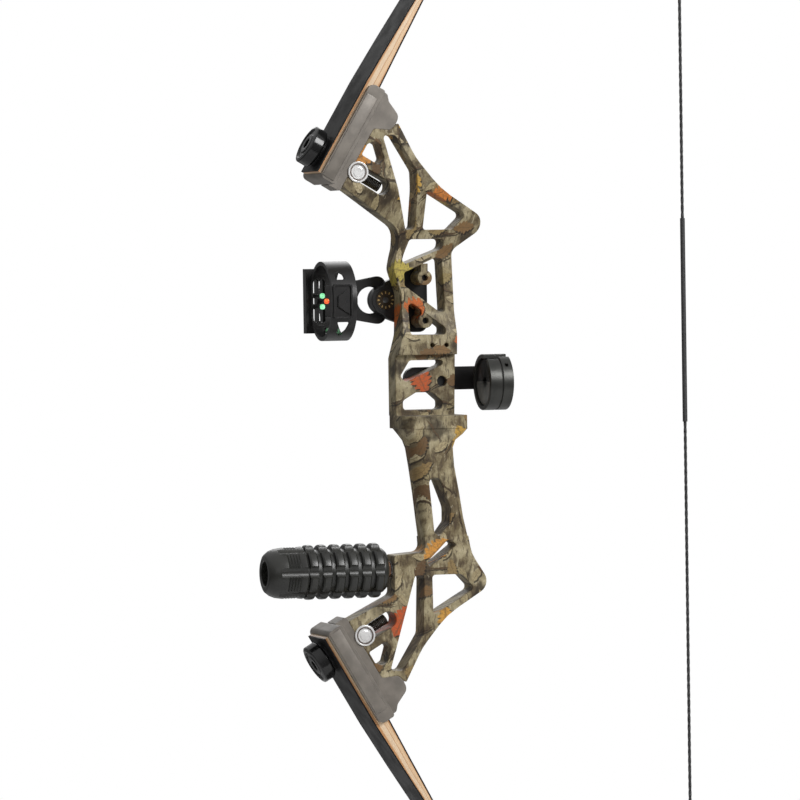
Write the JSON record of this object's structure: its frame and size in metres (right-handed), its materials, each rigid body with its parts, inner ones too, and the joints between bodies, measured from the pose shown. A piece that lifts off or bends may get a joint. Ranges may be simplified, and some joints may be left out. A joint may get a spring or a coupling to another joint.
{
  "type": "recurve bow",
  "caption": "Strung take-down recurve bow with skeleton riser, pin sight in a ring, brush arrow rest, ribbed stabiliser and pocketed limbs.",
  "frame": {"origin": "deepest point of the grip, on the plane in which the string moves", "axes": "+X towards the archer, +Z along the string to the upper limb, +Y to the side that carries the sight and the rest"},
  "size_m": [0.3493, 0.081, 1.4976],
  "materials": {
    "camo": "satin camouflage film",
    "pocket_metal": "matt",
    "black_steel": "black oxide",
    "steel": "brushed",
    "chrome": "polished",
    "limb_wood": "satin",
    "limb_glass": "semi-gloss",
    "string": "waxed",
    "anodised": "black anodised",
    "dial": "anodised with pale marks",
    "grey_metal": "satin",
    "fibre_green": "glowing fibre",
    "fibre_red": "glowing fibre",
    "level_glass": "clear green",
    "bubble": "clear",
    "gunmetal": "satin",
    "brush_dark": "bristle",
    "brush_grey": "bristle",
    "rubber": "satin",
    "copper": "plated"
  },
  "bodies": {
    "bow": {"riser": "camo", "stabiliser_bushing": "steel", "upper_pocket": "pocket_metal", "lower_pocket": "pocket_metal", "upper_pocket_screws": "black_steel", "lower_pocket_screws": "black_steel", "upper_barrel_nut": "chrome", "lower_barrel_nut": "chrome", "upper_locating_pin": "steel", "lower_locating_pin": "steel", "upper_limb_core": "limb_wood", "lower_limb_core": "limb_wood", "upper_limb_back": "limb_glass", "lower_limb_back": "limb_glass", "upper_limb_belly": "limb_glass", "lower_limb_belly": "limb_glass", "upper_tip_overlay": "limb_glass", "lower_tip_overlay": "limb_glass", "bowstring": "string", "centre_serving": "string", "upper_string_loop": "string", "lower_string_loop": "string", "sight_mount_plate": "anodised", "sight_mount_screws": "black_steel", "sight_pivot": "dial", "sight_pivot_nut": "black_steel", "rest_mount_bolt": "black_steel"},
    "upper_bolt_seat": {"upper_bolt_washer": "black_steel"},
    "upper_bolt": {"upper_limb_bolt": "black_steel", "upper_bolt_knob": "black_steel"},
    "lower_bolt_seat": {"lower_bolt_washer": "black_steel"},
    "lower_bolt": {"lower_limb_bolt": "black_steel", "lower_bolt_knob": "black_steel"},
    "sight_arm": {"sight_arm": "anodised"},
    "sight_carriage": {"sight_carriage": "anodised"},
    "elevation_knob": {"sight_elevation_knob": "anodised"},
    "sight_head": {"sight_pin_rack": "anodised", "sight_ring": "anodised", "sight_ring_screws": "black_steel", "level_tube": "level_glass"},
    "windage_knob": {"sight_windage_knob": "grey_metal"},
    "level_bubble": {"level_bubble": "bubble"},
    "pin_top": {"sight_pin_top": "anodised", "fibre_top": "fibre_green"},
    "pin_middle": {"sight_pin_middle": "anodised", "fibre_middle": "fibre_red"},
    "pin_bottom": {"sight_pin_bottom": "anodised", "fibre_bottom": "fibre_green"},
    "rest_arm": {"rest_arm": "anodised"},
    "rest_head": {"rest_ring": "gunmetal", "rest_brush_upper": "brush_dark", "rest_brush_lower": "brush_grey", "rest_clamp_stud": "steel"},
    "rest_knob": {"rest_clamp_knob": "black_steel"},
    "stabiliser_seat": {"stabiliser_washer": "steel"},
    "stabiliser": {"stabiliser_body": "rubber", "stabiliser_core": "steel", "stabiliser_stud": "steel", "stabiliser_jam_nut": "copper"}
  },
  "joints": [
    {"name": "upper_bolt_travel", "type": "slide", "parent": "bow", "child": "upper_bolt_seat", "axis": [-0.8616, 0, 0.5075], "range_m": [0, 0.005]},
    {"name": "upper_bolt_turn", "type": "hinge", "parent": "upper_bolt_seat", "child": "upper_bolt", "pos_m": [-0.0757, 0, 0.2185], "axis": [-0.8616, 0, 0.5075], "range_deg": [0, 1440]},
    {"name": "lower_bolt_travel", "type": "slide", "parent": "bow", "child": "lower_bolt_seat", "axis": [-0.8616, 0, -0.5075], "range_m": [0, 0.005]},
    {"name": "lower_bolt_turn", "type": "hinge", "parent": "lower_bolt_seat", "child": "lower_bolt", "pos_m": [-0.0757, 0, -0.1385], "axis": [-0.8616, 0, -0.5075], "range_deg": [0, 1440]},
    {"name": "sight_tilt", "type": "hinge", "parent": "bow", "child": "sight_arm", "pos_m": [-0.0426, 0.036, 0.1194], "axis": [0, 1, 0], "range_deg": [-4, 4]},
    {"name": "sight_elevation", "type": "slide", "parent": "sight_arm", "child": "sight_carriage", "axis": [0, 0, 1], "range_m": [-0.004, 0.004]},
    {"name": "elevation_knob_turn", "type": "hinge", "parent": "sight_carriage", "child": "elevation_knob", "pos_m": [-0.076, 0.045, 0.1194], "axis": [0, 1, 0], "range_deg": [0, 360]},
    {"name": "sight_windage", "type": "slide", "parent": "sight_carriage", "child": "sight_head", "axis": [0, 1, 0], "range_m": [-0.003, 0.003]},
    {"name": "windage_knob_turn", "type": "hinge", "parent": "sight_head", "child": "windage_knob", "pos_m": [-0.0865, 0.0385, 0.1194], "axis": [1, 0, 0], "range_deg": [0, 360]},
    {"name": "level_bubble_travel", "type": "slide", "parent": "sight_head", "child": "level_bubble", "axis": [0, 1, 0], "range_m": [-0.005, 0.005]},
    {"name": "pin_top_height", "type": "slide", "parent": "sight_head", "child": "pin_top", "axis": [0, 0, 1], "range_m": [0, 0.009]},
    {"name": "pin_middle_height", "type": "slide", "parent": "sight_head", "child": "pin_middle", "axis": [0, 0, 1], "range_m": [-0.009, 0.009]},
    {"name": "pin_bottom_height", "type": "slide", "parent": "sight_head", "child": "pin_bottom", "axis": [0, 0, 1], "range_m": [-0.009, 0]},
    {"name": "rest_height", "type": "hinge", "parent": "bow", "child": "rest_arm", "pos_m": [-0.0035, 0.03, 0.056], "axis": [0, 1, 0], "range_deg": [-5, 5]},
    {"name": "rest_windage", "type": "slide", "parent": "rest_arm", "child": "rest_head", "axis": [0, 1, 0], "range_m": [-0.003, 0.003]},
    {"name": "rest_knob_turn", "type": "hinge", "parent": "rest_head", "child": "rest_knob", "pos_m": [0.0525, 0.021, 0.06], "axis": [1, 0, 0], "range_deg": [0, 360]},
    {"name": "stabiliser_travel", "type": "slide", "parent": "bow", "child": "stabiliser_seat", "axis": [-1, 0, 0], "range_m": [0, 0.0127]},
    {"name": "stabiliser_turn", "type": "hinge", "parent": "stabiliser_seat", "child": "stabiliser", "pos_m": [-0.105, 0, -0.089], "axis": [-1, 0, 0], "range_deg": [0, 4320]}
  ],
  "couplings": [
    {"joint": "upper_bolt_travel", "follows": "upper_bolt_turn", "m_per_rad": 0.00019894},
    {"joint": "lower_bolt_travel", "follows": "lower_bolt_turn", "m_per_rad": 0.00019894},
    {"joint": "stabiliser_travel", "follows": "stabiliser_turn", "m_per_rad": 0.00016839}
  ]
}
